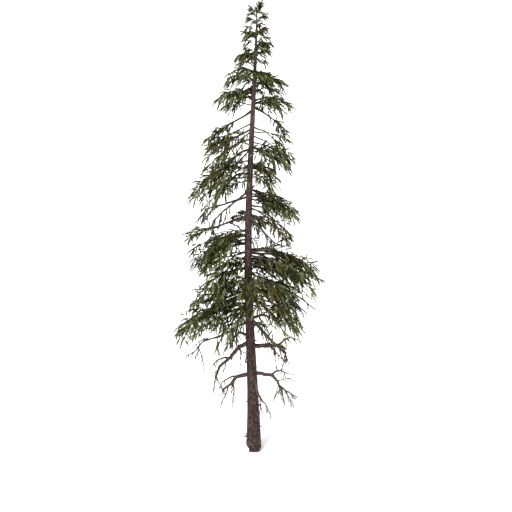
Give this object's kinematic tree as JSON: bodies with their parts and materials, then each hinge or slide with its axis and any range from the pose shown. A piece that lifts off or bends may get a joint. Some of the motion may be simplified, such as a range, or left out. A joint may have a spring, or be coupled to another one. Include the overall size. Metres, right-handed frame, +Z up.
{
  "type": "broken spruce tree",
  "caption": "Tall slender spruce with a chipped foot, bare lower trunk, crooked dead boughs and a narrow crown of drooping boughs that carry hanging sprays of needles.",
  "frame": {"origin": "middle of the flat cut at the foot of the trunk, at ground level", "axes": "+Z up along the trunk to its tip, +X to the tree's right as the picture shows it, -Y to its front"},
  "size_m": [4.8168, 3.7013, 14.84],
  "materials": {
    "bark": "rough furrowed bark",
    "dead_wood": "weathered bare twigs",
    "needles": "matte green needles on thin twigs"
  },
  "bodies": {
    "root": {"bough_left_1": "bark", "bough_left_3": "bark", "bough_left_4": "bark", "bough_left_6": "bark", "bough_right_1": "bark", "bough_right_2": "bark", "bough_right_3": "bark", "dead_bough_back_1": "dead_wood", "dead_bough_front_1": "dead_wood", "dead_bough_left_1": "dead_wood", "dead_bough_left_2": "dead_wood", "dead_bough_left_3": "dead_wood", "dead_bough_left_4": "dead_wood", "dead_bough_right_1": "dead_wood", "dead_bough_right_2": "dead_wood", "dead_bough_right_3": "dead_wood", "dead_twigs_left_1": "dead_wood", "dead_twigs_left_2": "dead_wood", "dead_twigs_right_1": "dead_wood", "dead_twigs_right_2": "dead_wood", "dead_twigs_right_3": "dead_wood", "foliage_back_1": "needles", "foliage_back_2": "needles", "foliage_back_3": "needles", "foliage_back_4": "needles", "foliage_front_1": "needles", "foliage_front_2": "needles", "foliage_leader": "needles", "foliage_left_1": "needles", "foliage_left_10": "needles", "foliage_left_2": "needles", "foliage_left_3": "needles", "foliage_left_4": "needles", "foliage_left_5": "needles", "foliage_left_6": "needles", "foliage_left_7": "needles", "foliage_left_8": "needles", "foliage_left_9": "needles", "foliage_right_1": "needles", "foliage_right_2": "needles", "foliage_right_3": "needles", "foliage_right_4": "needles", "foliage_right_5": "needles", "foliage_right_6": "needles", "foliage_right_7": "needles", "foliage_right_8": "needles", "foliage_right_9": "needles", "foliage_top_1": "needles", "foliage_top_10": "needles", "foliage_top_11": "needles", "foliage_top_12": "needles", "foliage_top_2": "needles", "foliage_top_3": "needles", "foliage_top_4": "needles", "foliage_top_5": "needles", "foliage_top_6": "needles", "foliage_top_7": "needles", "foliage_top_8": "needles", "foliage_top_9": "needles", "trunk": "bark"}
  },
  "joints": []
}
